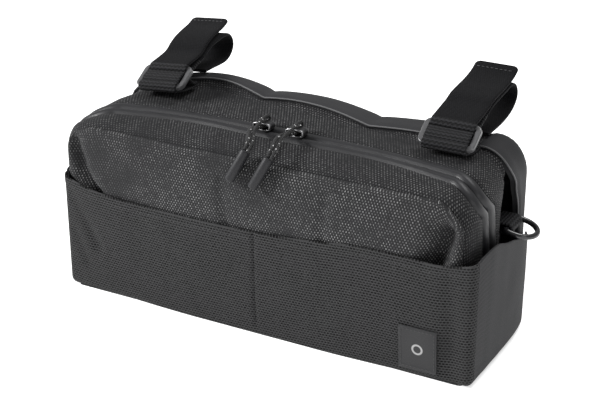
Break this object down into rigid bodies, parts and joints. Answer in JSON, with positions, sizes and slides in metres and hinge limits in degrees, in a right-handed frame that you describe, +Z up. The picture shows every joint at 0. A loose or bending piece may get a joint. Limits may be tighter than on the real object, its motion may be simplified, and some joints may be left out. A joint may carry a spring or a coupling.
{
  "type": "bicycle handlebar bag",
  "caption": "Soft grey bicycle handlebar bag with a top zip, mesh pockets, a padded back, strap loops and D-rings at its ends.",
  "frame": {"origin": "middle of the base between the side pockets' feet, on the surface the bag stands on", "axes": "+Z up, front with the mesh pocket to -Y, +X towards the end with the label"},
  "size_m": [0.2704, 0.1185, 0.1353],
  "materials": {
    "weave": "dark grey dobby weave with small light dots",
    "mesh": "dark stretch mesh with tiny holes in rows",
    "tape": "coated zip tape, slight satin sheen",
    "panel": "smooth matt fabric over foam",
    "binding": "thin light grey edge binding",
    "label": "bare dark woven patch",
    "webbing": "black hook-and-loop strap and ribbed webbing",
    "plastic": "black moulded plastic",
    "cord": "black braided cord with light flecks",
    "rubber": "matt dark rubber tube",
    "metal": "dark plated metal"
  },
  "bodies": {
    "root": {"base_panel": "weave", "front_panel": "weave", "gusset_front": "weave", "gusset_back": "weave", "zip_tape_front": "tape", "zip_tape_back": "tape", "back_panel": "panel", "back_binding": "binding", "pocket_front": "mesh", "pocket_left": "mesh", "pocket_right": "mesh", "label_patch": "label", "strap_left": "webbing", "strap_right": "webbing", "strap_anchor_left": "webbing", "strap_anchor_right": "webbing", "buckle_left": "plastic", "buckle_right": "plastic", "ring_tab_left": "webbing", "ring_tab_right": "webbing", "slider_left": "metal", "slider_right": "metal", "pull_cord_left": "cord", "pull_cord_right": "cord", "pull_end_left": "rubber", "pull_end_right": "rubber"},
    "ring_left": {"d_ring_left": "plastic"},
    "ring_right": {"d_ring_right": "plastic"}
  },
  "joints": [
    {"name": "ring_left_swing", "type": "hinge", "parent": "root", "child": "ring_left", "pos_m": [-0.12, 0.0155, 0.0675], "axis": [0, 1, 0], "range_deg": [0, 75]},
    {"name": "ring_right_swing", "type": "hinge", "parent": "root", "child": "ring_right", "pos_m": [0.12, 0.0155, 0.0675], "axis": [0, -1, 0], "range_deg": [0, 75]}
  ]
}
